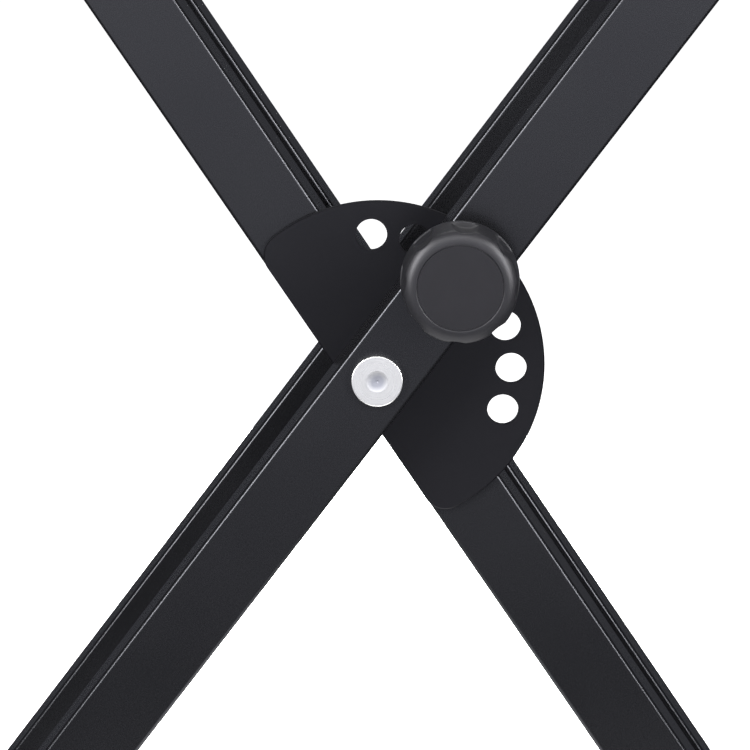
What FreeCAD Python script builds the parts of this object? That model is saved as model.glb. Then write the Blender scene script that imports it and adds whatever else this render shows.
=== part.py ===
import FreeCAD, Part
import math
import os

# Folding keyboard stand: two pairs of crossed box-section legs on one pivot, held open by a pull pin that
# drops into a row of holes in a plate. X runs left to right, Y from front to back, Z up.
# The origin is on the floor, under the pivot. Millimetres and degrees.

V = FreeCAD.Vector
os.makedirs("parts", exist_ok=True)

# Legs and their stack along the pivot
TUBE_WIDTH = 30.0
TUBE_DEPTH = 25.0
TUBE_WALL = 1.5
TUBE_CORNER = 1.5
LEG_REACH = 480.0
WEAR_WASHER = 0.5
PLATE_THICKNESS = 3.0
SPACER_LENGTH = 23.0
REAR_WASHER = 2.0

# Lock plate and the row of height settings
PLATE_MARGIN = 7.1
PLATE_CORNER = 9.0
PLATE_INSET = 0.4
PLATE_EDGE = 0.5
LOCK_RADIUS = 52.7
HOLE_COUNT = 7
HOLE_STEP = 18.8
TALLEST_OPENING = 33.0
REST_HOLE = 2

# Support bars, foot bars and what is on their ends
BAR_DIAMETER = 32.0
BAR_WALL = 1.5
SUPPORT_LENGTH = 350.0
FOOT_LENGTH = 450.0
WELD_ROOT = 0.15
SLEEVE_THICKNESS = 3.0
SLEEVE_SETBACK = 2.0
SLEEVE_LAND = 40.0
SLEEVE_GROOVE_PITCH = 12.0
SLEEVE_GROOVE_WIDTH = 2.5
SLEEVE_GROOVE_DEPTH = 1.0
BAR_CAP_FLANGE = 4.0
BAR_CAP_STEM = 18.0
BAR_CAP_LEAD = 1.5
BAR_CAP_ROUND = 2.0
FOOT_CAP_WALL = 6.95
FOOT_CAP_OFFSET = 2.0
FOOT_CAP_DEPTH = 34.0
FOOT_CAP_END = 6.0
FOOT_CAP_ROUND = 3.0

# Pivot bolt and its bushes
BOLT_DIAMETER = 12.0
BOLT_HEAD_LIP = 4.0
BOLT_HEAD_HEIGHT = 3.0
BOLT_HEAD_ROUND = 0.4
BOLT_DISH_RADIUS = 4.2
BOLT_DISH_DEPTH = 0.35
BOLT_CENTRE_RADIUS = 0.6
BOLT_CENTRE_DEPTH = 0.4
BOLT_CENTRE_TIP = 0.15
BOLT_TAIL = 2.0
BOLT_TAIL_CHAMFER = 1.5
CRUSH_TUBE_WALL = 3.0
BUSH_WALL = 3.0
SPACER_WALL = 5.0
WEAR_WASHER_INSET = 1.0
NUT_WASHER_LIP = 1.0
NUT_WASHER_THICKNESS = 2.0
NUT_WALL = 3.5
NUT_HEIGHT = 8.0
NUT_COLLAR_HEIGHT = 3.5
NUT_COLLAR_WALL = 1.2
NUT_RING_WALL = 1.6

# Pull pin, its barrel and knob
PIN_DIAMETER = 8.0
PIN_SLACK = 2.2
PIN_TRAVEL = 9.0
PIN_INSET = 0.4
PIN_TIP_CHAMFER = 1.2
PIN_SHOULDER_LENGTH = 2.5
PIN_STOP_GAP = 0.3
ROD_DIAMETER = 6.0
GUIDE_WALL = 2.0
BARREL_WALL = 2.0
BARREL_FRONT = 6.0
BARREL_FRONT_WALL = 3.0
BARREL_COLLAR_LIP = 3.0
BARREL_COLLAR = 2.5
THRUST_WASHER = 1.0
SPRING_WIRE = 1.0
SPRING_LENGTH = 7.2
SPRING_TURNS = 4
KNOB_DIAMETER = 45.2
KNOB_FACE_DIAMETER = 43.3
KNOB_HEIGHT = 19.2
KNOB_REST_GAP = 2.8
KNOB_CROWN = 7.5
KNOB_CROWN_TURN = 40.0
KNOB_SHOULDER = 2.0
KNOB_BACK_ROUND = 1.2
KNOB_BASE = 3.5
KNOB_CAVITY_GAP = 2.0
KNOB_FLOOR_GAP = 3.0
KNOB_CAP_THICKNESS = 1.6
KNOB_CAP_INSET = 0.4
KNOB_WEB = 1.8
KNOB_FLUTES = 8
KNOB_FLUTE_RADIUS = 12.0
KNOB_FLUTE_DEPTH = 0.75
KNOB_FLUTE_START = 42.0
INSERT_WALL = 2.0

# Fits, all per side
RUNNING_FIT = 0.05
LOOSE_FIT = 0.2
PRESS_FIT = 0.02
SHOULDER_FIT = 0.3
PIN_SEAT_GAP = 0.18

# Worked out: the opening angle, the height of the pivot and the stack from front to back
OPENING = TALLEST_OPENING + REST_HOLE * HOLE_STEP
LEAN = OPENING / 2
BAR_RADIUS = BAR_DIAMETER / 2
BAR_BORE = BAR_RADIUS - BAR_WALL
SLEEVE_RADIUS = BAR_RADIUS + RUNNING_FIT + SLEEVE_THICKNESS
FOOT_CAP_RADIUS = BAR_RADIUS + RUNNING_FIT + FOOT_CAP_WALL + FOOT_CAP_OFFSET
FOOT_AXIS_HEIGHT = FOOT_CAP_RADIUS - FOOT_CAP_OFFSET
PIVOT = V(0, 0, FOOT_AXIS_HEIGHT + LEG_REACH * math.cos(math.radians(LEAN)))
STACK = 4 * TUBE_DEPTH + WEAR_WASHER + PLATE_THICKNESS + SPACER_LENGTH + REAR_WASHER
OUTER_FRONT = -STACK / 2
WASHER_FRONT = OUTER_FRONT + TUBE_DEPTH
PLATE_FRONT = WASHER_FRONT + WEAR_WASHER
INNER_FRONT = PLATE_FRONT + PLATE_THICKNESS
SPACER_FRONT = INNER_FRONT + TUBE_DEPTH
INNER_REAR = SPACER_FRONT + SPACER_LENGTH
REAR_WASHER_FRONT = INNER_REAR + TUBE_DEPTH
OUTER_REAR = REAR_WASHER_FRONT + REAR_WASHER
STACK_END = OUTER_REAR + TUBE_DEPTH

BOLT_RADIUS = BOLT_DIAMETER / 2
BOLT_HOLE = BOLT_RADIUS + LOOSE_FIT
BUSH_BORE = BOLT_RADIUS + RUNNING_FIT
BUSH_RADIUS = BUSH_BORE + BUSH_WALL
NUT_CORNER = (BOLT_RADIUS + NUT_WALL) * 2 / math.sqrt(3)

# The pin, its guide and its barrel, each one round the last
PIN_RADIUS = PIN_DIAMETER / 2
ROD_RADIUS = ROD_DIAMETER / 2
ROD_HOLE = ROD_RADIUS + RUNNING_FIT
GUIDE_BORE = PIN_RADIUS + RUNNING_FIT
BARREL_BORE = GUIDE_BORE + GUIDE_WALL + PRESS_FIT
BARREL_RADIUS = BARREL_BORE + BARREL_WALL
COLLAR_RADIUS = BARREL_RADIUS + BARREL_COLLAR_LIP
SHOULDER_RADIUS = BARREL_BORE - SHOULDER_FIT
SPRING_RADIUS = (ROD_RADIUS + BARREL_BORE) / 2
INSERT_RADIUS = ROD_HOLE + INSERT_WALL
SHOULDER_STACK = SPRING_LENGTH + THRUST_WASHER + PIN_SHOULDER_LENGTH + PIN_TRAVEL + PIN_STOP_GAP
GUIDE_LENGTH = TUBE_DEPTH + BARREL_FRONT - BARREL_FRONT_WALL - SHOULDER_STACK

# The knob's hollow back clears the barrel, and its face is let in for the cap
KNOB_RADIUS = KNOB_DIAMETER / 2
KNOB_FACE_RADIUS = KNOB_FACE_DIAMETER / 2
CROWN_SIN = math.sin(math.radians(KNOB_CROWN_TURN))
CROWN_COS = math.cos(math.radians(KNOB_CROWN_TURN))
KNOB_RIM_RADIUS = KNOB_FACE_RADIUS - KNOB_SHOULDER - (KNOB_CROWN - KNOB_SHOULDER) * CROWN_SIN
KNOB_CAP_RADIUS = KNOB_RIM_RADIUS - PRESS_FIT
KNOB_CAVITY_DEPTH = BARREL_FRONT - KNOB_REST_GAP + KNOB_FLOOR_GAP
KNOB_FACE_DEPTH = KNOB_CAP_INSET + KNOB_CAP_THICKNESS
INSERT_LENGTH = KNOB_HEIGHT - KNOB_FACE_DEPTH - KNOB_WEB - KNOB_CAVITY_DEPTH

# With the legs loaded the pin bears on the side of its hole, so the holes lead it by the slack between them
HOLE_RADIUS = PIN_RADIUS + PIN_SLACK
HOLE_LEAD = math.degrees(math.asin((PIN_SLACK - PIN_SEAT_GAP) / LOCK_RADIUS))
PLATE_RADIUS = LOCK_RADIUS + HOLE_RADIUS + PLATE_MARGIN


def cylinder(radius, start, length, x=0.0, z=0.0):
    """A round bar along Y from start."""
    return Part.makeCylinder(radius, length, V(x, start, z), V(0, 1, 0))


def ring(outer, inner, start, length, z=0.0):
    """A round tube along Y from start."""
    return cylinder(outer, start, length, z=z).cut(cylinder(inner, start, length, z=z))


def block(width, start, length, height):
    """A block centred on the Y axis."""
    return Part.makeBox(width, length, height, V(-width / 2, start, -height / 2))


def lathe(profile, z=0.0):
    """A solid turned about the Y axis from (radius, y) points; four values end an arc about the last two."""
    edges = []
    for here, there in zip(profile, profile[1:] + profile[:1]):
        a = V(here[0], here[1], 0)
        b = V(there[0], there[1], 0)
        if len(there) == 4:
            centre = V(there[2], there[3], 0)
            middle = (a + b) * 0.5 - centre
            middle.Length = (b - centre).Length
            edges.append(Part.Arc(a, centre + middle, b).toShape())
        elif (b - a).Length > 1e-6:
            edges.append(Part.makeLine(a, b))
    solid = Part.Face(Part.Wire(edges)).revolve(V(0, 0, 0), V(0, 1, 0), 360)
    solid.translate(V(0, 0, z))
    return solid


def lean(shape, side):
    """Leans a shape, drawn with its legs upright about the pivot, to its resting place."""
    shape.rotate(V(0, 0, 0), V(0, 1, 0), side * LEAN)
    shape.translate(PIVOT)
    return shape


def export(name, *shapes):
    """Writes one sub-part; identical pieces share a file as separate solids."""
    shape = shapes[0] if len(shapes) == 1 else Part.makeCompound(list(shapes))
    if not shape.isValid() or not all(s.Volume > 0 for s in shape.Solids):
        raise ValueError("bad solid in " + name)
    shape.exportStep("parts/" + name + ".step")


def along_y(shape):
    """The shape's straight edges that run along Y."""
    straight = [e for e in shape.Edges if e.Curve.TypeId == "Part::GeomLine"]
    return [e for e in straight if abs(e.tangentAt(e.FirstParameter).y) > 0.99]


def long_edges(shape):
    """The four long edges of an upright block."""
    return [e for e in shape.Edges if abs(e.tangentAt(e.FirstParameter).z) > 0.99]


def leg_tube(front):
    """One leg, hollow, coped at both ends to sit against its round bars."""
    outside = Part.makeBox(TUBE_WIDTH, TUBE_DEPTH, 2 * LEG_REACH, V(-TUBE_WIDTH / 2, front, -LEG_REACH))
    outside = outside.makeFillet(TUBE_CORNER, long_edges(outside))
    inside = Part.makeBox(
        TUBE_WIDTH - 2 * TUBE_WALL,
        TUBE_DEPTH - 2 * TUBE_WALL,
        2 * LEG_REACH,
        V(-TUBE_WIDTH / 2 + TUBE_WALL, front + TUBE_WALL, -LEG_REACH),
    )
    inside = inside.makeFillet(max(TUBE_CORNER - TUBE_WALL, TUBE_CORNER / 4), long_edges(inside))
    tube = outside.cut(inside)
    for end in (-LEG_REACH, LEG_REACH):
        tube = tube.cut(cylinder(BAR_RADIUS + WELD_ROOT, front - TUBE_DEPTH, 3 * TUBE_DEPTH, z=end))
    return tube


def round_bar(length, z):
    """A steel tube across the legs."""
    return ring(BAR_RADIUS, BAR_BORE, -length / 2, length, z)


def sleeve(free, root, z):
    """A rubber sleeve pushed over a support bar: a plain land for clamps at its free end, then grooves."""
    way = 1 if root > free else -1
    count = int((abs(root - free) - SLEEVE_LAND) / SLEEVE_GROOVE_PITCH)
    floor = SLEEVE_RADIUS - SLEEVE_GROOVE_DEPTH
    bore = BAR_RADIUS + RUNNING_FIT
    profile = [(bore, free), (floor, free), (SLEEVE_RADIUS, free + way * SLEEVE_GROOVE_DEPTH)]
    for groove in range(count):
        near = free + way * (SLEEVE_LAND + groove * SLEEVE_GROOVE_PITCH)
        far = near + way * SLEEVE_GROOVE_WIDTH
        profile += [(SLEEVE_RADIUS, near), (floor, near), (floor, far), (SLEEVE_RADIUS, far)]
    profile += [(SLEEVE_RADIUS, root - way * SLEEVE_GROOVE_DEPTH), (floor, root), (bore, root)]
    return lathe(profile, z)


def bar_cap(side, z):
    """A plug with a rounded flange for the end of a support bar, side -1 at the front."""
    end = side * SUPPORT_LENGTH / 2
    stem = BAR_BORE - RUNNING_FIT
    face = end + side * BAR_CAP_FLANGE
    turn = face - side * BAR_CAP_ROUND
    return lathe(
        [
            (0, end - side * BAR_CAP_STEM),
            (stem - BAR_CAP_LEAD, end - side * BAR_CAP_STEM),
            (stem, end - side * (BAR_CAP_STEM - BAR_CAP_LEAD)),
            (stem, end),
            (SLEEVE_RADIUS, end),
            (SLEEVE_RADIUS, turn),
            (SLEEVE_RADIUS - BAR_CAP_ROUND, face, SLEEVE_RADIUS - BAR_CAP_ROUND, turn),
            (0, face),
        ],
        z,
    )


def foot_cap(x, side):
    """An off-centre rubber cup on the end of a foot bar; turning it raises that corner of the stand."""
    end = side * FOOT_LENGTH / 2
    mouth = end - side * FOOT_CAP_DEPTH
    face = end + side * FOOT_CAP_END
    bevel = FOOT_CAP_ROUND / 2
    cup = lathe(
        [
            (0, mouth),
            (FOOT_CAP_RADIUS - bevel, mouth),
            (FOOT_CAP_RADIUS, mouth + side * bevel),
            (FOOT_CAP_RADIUS, face - side * FOOT_CAP_ROUND),
            (
                FOOT_CAP_RADIUS - FOOT_CAP_ROUND,
                face,
                FOOT_CAP_RADIUS - FOOT_CAP_ROUND,
                face - side * FOOT_CAP_ROUND,
            ),
            (0, face),
        ],
        FOOT_CAP_OFFSET,
    )
    cup = cup.cut(cylinder(BAR_RADIUS + RUNNING_FIT, min(mouth, end), FOOT_CAP_DEPTH))
    cup.translate(V(x, 0, FOOT_AXIS_HEIGHT))
    return cup


def lock_plate():
    """A sector of a disc, cut off beside the inner leg's edge, with the row of height settings."""
    disc = cylinder(PLATE_RADIUS, PLATE_FRONT, PLATE_THICKNESS)
    edge = PLATE_INSET - TUBE_WIDTH / 2
    corner = V(edge, PLATE_FRONT, -PLATE_RADIUS)
    keep = Part.makeBox(PLATE_RADIUS - edge, PLATE_THICKNESS, 2 * PLATE_RADIUS, corner)
    plate = disc.common(keep)
    corners = [e for e in along_y(plate) if e.CenterOfMass.x < edge + PLATE_EDGE]
    plate = plate.makeFillet(PLATE_CORNER, corners)
    rims = [e for e in plate.Edges if e not in along_y(plate) and abs(e.tangentAt(e.FirstParameter).y) < 0.01]
    plate = plate.makeChamfer(PLATE_EDGE, rims)
    plate = plate.cut(cylinder(BUSH_RADIUS + PRESS_FIT, PLATE_FRONT, PLATE_THICKNESS))
    for hole in range(HOLE_COUNT):
        angle = math.radians(TALLEST_OPENING + hole * HOLE_STEP - HOLE_LEAD)
        x = LOCK_RADIUS * math.sin(angle)
        z = LOCK_RADIUS * math.cos(angle)
        plate = plate.cut(cylinder(HOLE_RADIUS, PLATE_FRONT, PLATE_THICKNESS, x, z))
    return plate


def arc_pair(start, start_way, end, end_way):
    """Two arcs that join two points of a curve and keep its direction at both."""
    chord = end - start
    ways = start_way + end_way
    turn = 2 * (1 - start_way.dot(end_way))
    along = chord.dot(ways)
    reach = (math.sqrt(along * along + turn * chord.dot(chord)) - along) / turn
    first = start + start_way * reach
    second = end - end_way * reach
    joint = (first + second) * 0.5
    arcs = []
    for a, corner, b in ((start, first, joint), (joint, second, end)):
        middle = (a + b) * 0.5
        rise = corner - middle
        half = (b - a).Length / 2
        rise.Length = half * math.tan(math.atan2(rise.Length, half) / 2)
        arcs.append(Part.Arc(a, middle + rise, b).toShape())
    return arcs


def coil_spring(start, z):
    """The pin's spring as it lies squeezed behind the barrel's front wall, one unbroken wire."""
    radius = SPRING_RADIUS
    pitch = (SPRING_LENGTH - SPRING_WIRE) / SPRING_TURNS
    print("spring gap between turns", round(pitch - SPRING_WIRE, 3))

    def point(turn):
        angle = 2 * math.pi * turn
        rise = SPRING_WIRE / 2 + pitch * turn
        return V(radius * math.cos(angle), start + rise, z + radius * math.sin(angle))

    def way(turn):
        angle = 2 * math.pi * turn
        along = V(-radius * math.sin(angle), pitch / (2 * math.pi), radius * math.cos(angle))
        return along.normalize()

    edges = []
    for quarter in range(4 * SPRING_TURNS):
        here = quarter / 4
        there = here + 0.25
        edges += arc_pair(point(here), way(here), point(there), way(there))
    section = Part.Wire(Part.makeCircle(SPRING_WIRE / 2, point(0), way(0)))
    shell = Part.BRepOffsetAPI.MakePipeShell(Part.Wire(edges))
    shell.add(section)
    shell.build()
    shell.makeSolid()
    return shell.shape()


def knob_body(front, back):
    """The grip: hollow-backed and tapered, its crown let in for the cap, its flutes ending at a base ring."""
    radius = KNOB_RADIUS
    rim = KNOB_RIM_RADIUS
    crown_edge = (rim + KNOB_CROWN * CROWN_SIN, front + KNOB_CROWN - KNOB_CROWN * CROWN_COS)
    turn = front + KNOB_CROWN - (KNOB_CROWN - KNOB_SHOULDER) * CROWN_COS
    cavity = COLLAR_RADIUS + KNOB_CAVITY_GAP
    body = lathe(
        [
            (0, front + KNOB_FACE_DEPTH),
            (rim, front + KNOB_FACE_DEPTH),
            (rim, front),
            (*crown_edge, rim, front + KNOB_CROWN),
            (KNOB_FACE_RADIUS, turn, KNOB_FACE_RADIUS - KNOB_SHOULDER, turn),
            (radius, back - KNOB_BASE),
            (radius, back - KNOB_BACK_ROUND),
            (radius - KNOB_BACK_ROUND, back, radius - KNOB_BACK_ROUND, back - KNOB_BACK_ROUND),
            (cavity, back),
            (cavity, back - KNOB_CAVITY_DEPTH),
            (0, back - KNOB_CAVITY_DEPTH),
        ]
    )
    reach = KNOB_FACE_RADIUS + KNOB_FLUTE_RADIUS - KNOB_FLUTE_DEPTH
    for flute in range(KNOB_FLUTES):
        angle = math.radians(KNOB_FLUTE_START + 360 / KNOB_FLUTES * flute - 90 + LEAN)
        x = reach * math.cos(angle)
        z = reach * math.sin(angle)
        body = body.cut(cylinder(KNOB_FLUTE_RADIUS, front, KNOB_HEIGHT - KNOB_BASE, x, z))
    seat = back - KNOB_CAVITY_DEPTH - INSERT_LENGTH
    body = body.cut(cylinder(INSERT_RADIUS + PRESS_FIT, seat, INSERT_LENGTH))
    body.translate(V(0, 0, LOCK_RADIUS))
    return body


def make_legs():
    """The four legs, drilled for the pivot; the front one also for the bolt's neck and the pin's barrel."""
    outer_front = leg_tube(OUTER_FRONT)
    neck = BOLT_DIAMETER + 2 * LOOSE_FIT
    outer_front = outer_front.cut(block(neck, OUTER_FRONT, TUBE_WALL, neck))
    outer_front = outer_front.cut(cylinder(BOLT_HOLE, OUTER_FRONT + TUBE_WALL, TUBE_DEPTH - TUBE_WALL))
    barrel = cylinder(BARREL_RADIUS + PRESS_FIT, OUTER_FRONT, TUBE_DEPTH, z=LOCK_RADIUS)
    export("outer_front_leg", lean(outer_front.cut(barrel), 1))
    outer_rear = leg_tube(OUTER_REAR).cut(cylinder(BOLT_HOLE, OUTER_REAR, TUBE_DEPTH))
    export("outer_rear_leg", lean(outer_rear, 1))
    for name, front in (("inner_front_leg", INNER_FRONT), ("inner_rear_leg", INNER_REAR)):
        bush_hole = cylinder(BUSH_RADIUS + PRESS_FIT, front, TUBE_DEPTH)
        export(name, lean(leg_tube(front).cut(bush_hole), -1))
    export("lock_plate", lean(lock_plate(), -1))


def make_bars():
    """Support bars with their sleeves and plugs, and foot bars with their levelling cups."""
    half = SUPPORT_LENGTH / 2
    pairs = (
        ("outer", 1, OUTER_FRONT, STACK_END),
        ("inner", -1, INNER_FRONT, INNER_REAR + TUBE_DEPTH),
    )
    for name, side, front, rear in pairs:
        export(name + "_support_bar", lean(round_bar(SUPPORT_LENGTH, LEG_REACH), side))
        export(name + "_foot_bar", lean(round_bar(FOOT_LENGTH, -LEG_REACH), side))
        export(name + "_front_sleeve", lean(sleeve(-half, front - SLEEVE_SETBACK, LEG_REACH), side))
        export(name + "_rear_sleeve", lean(sleeve(half, rear + SLEEVE_SETBACK, LEG_REACH), side))
        caps = [lean(bar_cap(end, LEG_REACH), side) for end in (-1, 1)]
        export(name + "_bar_caps", *caps)
        foot_x = -side * LEG_REACH * math.sin(math.radians(LEAN))
        hand = "left" if foot_x < 0 else "right"
        export("front_" + hand + "_foot", foot_cap(foot_x, -1))
        export("rear_" + hand + "_foot", foot_cap(foot_x, 1))


def make_pivot():
    """The bolt through all four legs, and what it clamps and turns in."""
    tail = STACK_END + NUT_WASHER_THICKNESS + NUT_HEIGHT + NUT_COLLAR_HEIGHT + BOLT_TAIL
    head = BOLT_RADIUS + BOLT_HEAD_LIP
    face = OUTER_FRONT - BOLT_HEAD_HEIGHT
    shank = OUTER_FRONT + TUBE_WALL
    bowl = (BOLT_DISH_RADIUS**2 + BOLT_DISH_DEPTH**2) / (2 * BOLT_DISH_DEPTH)
    bolt = lathe(
        [
            (0, face + BOLT_DISH_DEPTH),
            (BOLT_DISH_RADIUS, face, 0, face + BOLT_DISH_DEPTH - bowl),
            (head - BOLT_HEAD_ROUND, face),
            (head, face + BOLT_HEAD_ROUND, head - BOLT_HEAD_ROUND, face + BOLT_HEAD_ROUND),
            (head, OUTER_FRONT),
            (BOLT_RADIUS, OUTER_FRONT),
            (BOLT_RADIUS, tail - BOLT_TAIL_CHAMFER),
            (BOLT_RADIUS - BOLT_TAIL_CHAMFER, tail),
            (0, tail),
        ]
    )
    bolt = bolt.fuse(block(BOLT_DIAMETER, OUTER_FRONT, TUBE_WALL, BOLT_DIAMETER)).removeSplitter()
    centre = V(0, face + BOLT_DISH_DEPTH, 0)
    drill = Part.makeCone(BOLT_CENTRE_RADIUS, BOLT_CENTRE_TIP, BOLT_CENTRE_DEPTH, centre, V(0, 1, 0))
    drill = drill.fuse(cylinder(BOLT_CENTRE_RADIUS, face, BOLT_DISH_DEPTH))
    export("pivot_bolt", lean(bolt.cut(drill), 1))
    crush = BOLT_HOLE + CRUSH_TUBE_WALL
    inside = TUBE_DEPTH - 2 * TUBE_WALL
    export("front_crush_tube", lean(ring(crush, BOLT_HOLE, shank, inside), 1))
    export("rear_crush_tube", lean(ring(crush, BOLT_HOLE, OUTER_REAR + TUBE_WALL, inside), 1))
    export("front_bush", lean(ring(BUSH_RADIUS, BUSH_BORE, PLATE_FRONT, PLATE_THICKNESS + TUBE_DEPTH), -1))
    export("rear_bush", lean(ring(BUSH_RADIUS, BUSH_BORE, INNER_REAR, TUBE_DEPTH), -1))
    export("pivot_spacer", lean(ring(BOLT_HOLE + SPACER_WALL, BOLT_HOLE, SPACER_FRONT, SPACER_LENGTH), -1))
    wear = TUBE_WIDTH / 2 - WEAR_WASHER_INSET
    export("front_wear_washer", lean(ring(wear, BOLT_HOLE, WASHER_FRONT, WEAR_WASHER), 1))
    export("rear_wear_washer", lean(ring(wear, BOLT_HOLE, REAR_WASHER_FRONT, REAR_WASHER), 1))
    wide = NUT_CORNER + NUT_WASHER_LIP
    export("nut_washer", lean(ring(wide, BOLT_HOLE, STACK_END, NUT_WASHER_THICKNESS), 1))


def make_nut():
    """The self-locking nut: a hexagon with a collar that holds a nylon ring."""
    seat = STACK_END + NUT_WASHER_THICKNESS
    turns = [math.radians(60 * n) for n in range(7)]
    outline = Part.makePolygon([V(NUT_CORNER * math.cos(a), seat, NUT_CORNER * math.sin(a)) for a in turns])
    hexagon = Part.Face(outline).extrude(V(0, NUT_HEIGHT, 0))
    collar_seat = seat + NUT_HEIGHT
    thread = BOLT_RADIUS + RUNNING_FIT
    ring_outer = thread + NUT_RING_WALL
    collar = cylinder(ring_outer + PRESS_FIT + NUT_COLLAR_WALL, collar_seat, NUT_COLLAR_HEIGHT)
    nut = hexagon.fuse(collar).cut(cylinder(thread, seat, NUT_HEIGHT))
    nut = nut.cut(cylinder(ring_outer + PRESS_FIT, collar_seat, NUT_COLLAR_HEIGHT))
    export("pivot_nut", lean(nut, 1))
    export("nut_lock_ring", lean(ring(ring_outer, thread, collar_seat, NUT_COLLAR_HEIGHT), 1))


def make_lock():
    """The pull pin in its barrel, drawn out clear of the plate as it is while the height is being set."""
    tube_back = OUTER_FRONT + TUBE_DEPTH
    barrel_front = OUTER_FRONT - BARREL_FRONT
    spring_seat = barrel_front + BARREL_FRONT_WALL
    barrel = lathe(
        [
            (ROD_HOLE, barrel_front),
            (BARREL_RADIUS, barrel_front),
            (BARREL_RADIUS, OUTER_FRONT - BARREL_COLLAR),
            (COLLAR_RADIUS, OUTER_FRONT - BARREL_COLLAR),
            (COLLAR_RADIUS, OUTER_FRONT),
            (BARREL_RADIUS, OUTER_FRONT),
            (BARREL_RADIUS, tube_back),
            (BARREL_BORE, tube_back),
            (BARREL_BORE, spring_seat),
            (ROD_HOLE, spring_seat),
        ],
        LOCK_RADIUS,
    )
    export("lock_barrel", lean(barrel, 1))
    guide_front = tube_back - GUIDE_LENGTH
    guide = ring(BARREL_BORE - PRESS_FIT, GUIDE_BORE, guide_front, GUIDE_LENGTH, LOCK_RADIUS)
    export("pin_guide", lean(guide, 1))

    knob_back = OUTER_FRONT - PIN_TRAVEL - KNOB_REST_GAP
    knob_front = knob_back - KNOB_HEIGHT
    insert_back = knob_back - KNOB_CAVITY_DEPTH
    insert_front = insert_back - INSERT_LENGTH
    tip = tube_back - PIN_INSET
    shoulder_back = guide_front - PIN_STOP_GAP - PIN_TRAVEL
    shoulder_front = shoulder_back - PIN_SHOULDER_LENGTH
    pin = lathe(
        [
            (0, insert_front),
            (ROD_RADIUS, insert_front),
            (ROD_RADIUS, shoulder_front),
            (SHOULDER_RADIUS, shoulder_front),
            (SHOULDER_RADIUS, shoulder_back),
            (PIN_RADIUS, shoulder_back),
            (PIN_RADIUS, tip - PIN_TIP_CHAMFER),
            (PIN_RADIUS - PIN_TIP_CHAMFER, tip),
            (0, tip),
        ],
        LOCK_RADIUS,
    )
    export("lock_pin", lean(pin, 1))
    washer_front = shoulder_front - THRUST_WASHER
    washer = ring(SHOULDER_RADIUS, ROD_HOLE, washer_front, THRUST_WASHER, LOCK_RADIUS)
    export("thrust_washer", lean(washer, 1))
    export("lock_spring", lean(coil_spring(spring_seat, LOCK_RADIUS), 1))

    export("knob_grip", lean(knob_body(knob_front, knob_back), 1))
    cap = cylinder(KNOB_CAP_RADIUS, knob_front + KNOB_CAP_INSET, KNOB_CAP_THICKNESS, z=LOCK_RADIUS)
    export("knob_cap", lean(cap, 1))
    insert = ring(INSERT_RADIUS, ROD_HOLE, insert_front, INSERT_LENGTH, LOCK_RADIUS)
    export("knob_insert", lean(insert, 1))


make_legs()
make_bars()
make_pivot()
make_nut()
make_lock()
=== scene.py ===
import logging
import math
from dataclasses import dataclass
from enum import Enum
from typing import Callable, Dict, List, Optional, Sequence, Tuple, Union

import bpy
from mathutils import Matrix, Vector


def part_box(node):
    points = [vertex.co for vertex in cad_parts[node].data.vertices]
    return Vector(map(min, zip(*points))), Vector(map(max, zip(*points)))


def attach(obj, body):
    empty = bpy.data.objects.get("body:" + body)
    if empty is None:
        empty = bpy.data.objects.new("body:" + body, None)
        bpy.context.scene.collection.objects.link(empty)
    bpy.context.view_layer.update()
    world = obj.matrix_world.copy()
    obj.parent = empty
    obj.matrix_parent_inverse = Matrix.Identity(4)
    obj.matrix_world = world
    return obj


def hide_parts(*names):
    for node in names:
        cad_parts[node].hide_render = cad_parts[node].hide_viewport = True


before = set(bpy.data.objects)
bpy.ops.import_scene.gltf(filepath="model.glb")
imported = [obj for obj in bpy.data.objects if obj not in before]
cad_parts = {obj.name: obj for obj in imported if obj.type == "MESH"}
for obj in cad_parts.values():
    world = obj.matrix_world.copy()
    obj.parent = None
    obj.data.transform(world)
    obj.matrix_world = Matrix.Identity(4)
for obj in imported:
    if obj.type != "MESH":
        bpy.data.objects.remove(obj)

log = logging.getLogger("keyboard_stand")

Colour = Tuple[float, float, float]
Corner = Tuple[float, float, float]
MM = 0.001

# Noise runs from 0 to 1 about this mean, and most of it lies in this range.
NOISE_MEAN = 0.5
NOISE_RANGE = (0.3, 0.7)

# Points closer than this are one point.
MERGE = 0.002 * MM


class Body(Enum):
    """The moving bodies that a piece can ride on."""

    OUTER = "outer_legs"
    INNER = "inner_legs"
    KNOB = "lock_knob"
    FRONT_LEFT = "front_left_cup"
    REAR_LEFT = "rear_left_cup"
    FRONT_RIGHT = "front_right_cup"
    REAR_RIGHT = "rear_right_cup"


class Slot(Enum):
    """The finishes that the stand is made in."""

    LEG_PAINT = "leg_paint"
    PLATE_PAINT = "plate_paint"
    TURNED_STEEL = "turned_steel"
    ZINC_STEEL = "zinc_steel"
    BEARING_BRASS = "bearing_brass"
    NYLON = "nylon"
    KNOB_PLASTIC = "knob_plastic"
    CAP_PLASTIC = "cap_plastic"
    GRIP_RUBBER = "grip_rubber"
    FOOT_RUBBER = "foot_rubber"


class Link:
    """An output socket that can feed another node."""

    def __init__(self, shader: "Shader", socket: bpy.types.NodeSocket) -> None:
        """Wraps a socket of the shader's node tree."""
        self.shader = shader
        self.socket = socket


Term = Union["Value", float]


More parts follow.
